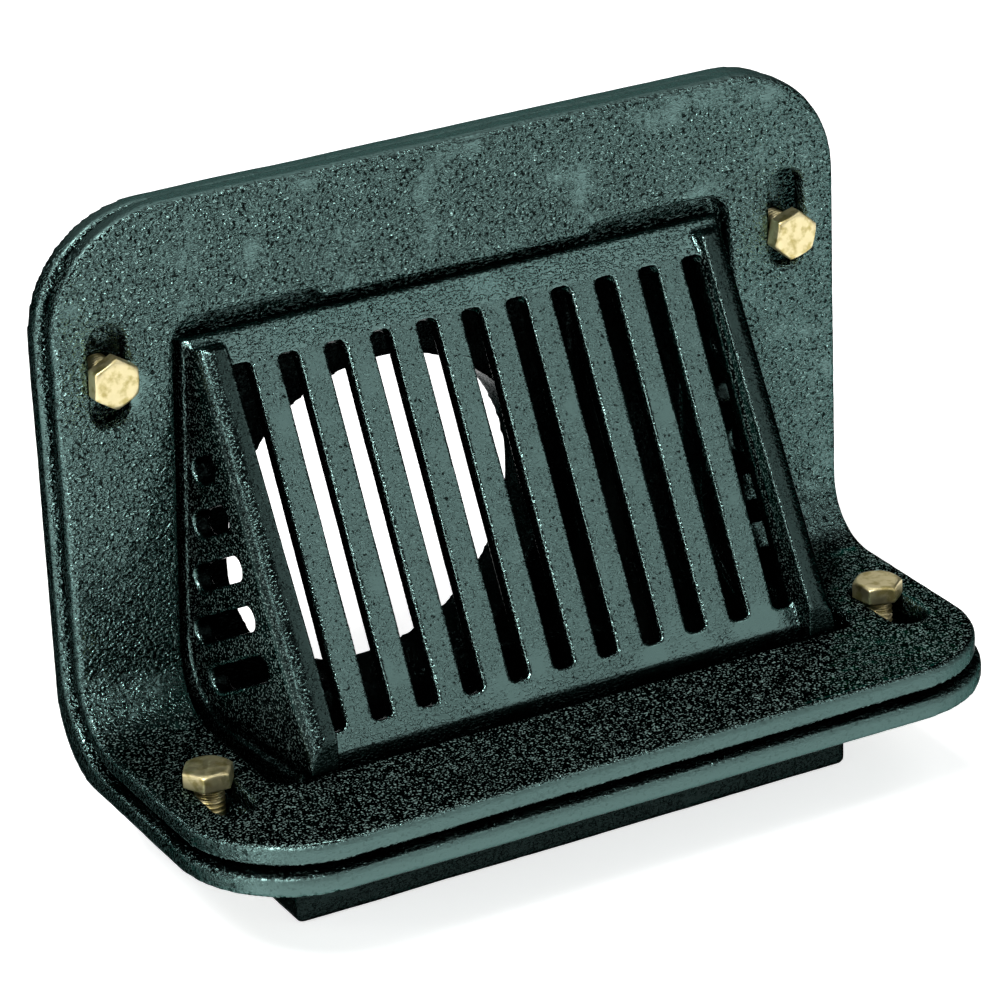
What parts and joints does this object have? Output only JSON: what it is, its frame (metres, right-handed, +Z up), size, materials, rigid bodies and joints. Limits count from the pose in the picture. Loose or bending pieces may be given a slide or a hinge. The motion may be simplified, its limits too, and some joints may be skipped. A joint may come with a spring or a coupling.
{
  "type": "parapet roof drain",
  "caption": "Cast-iron drain for the foot of a parapet wall: L-shaped flange, bolted flashing clamp, sloped slotted grate and a sump that leads to a round outlet through the wall.",
  "frame": {"origin": "centre of the outlet's open end", "axes": "+Y along the outlet, out of the back of the wall; +Z up; +X across the drain"},
  "size_m": [0.276, 0.192, 0.2136],
  "materials": {
    "body_enamel": "dark green enamel on rough casting",
    "clamp_enamel": "dark green enamel on rough casting",
    "grate_enamel": "dark green enamel on rough casting",
    "bolt_plating": "yellow zinc plating"
  },
  "bodies": {
    "root": {"drain_body": "body_enamel", "flashing_clamp": "clamp_enamel", "grate": "grate_enamel", "clamp_bolts": "bolt_plating"}
  },
  "joints": []
}
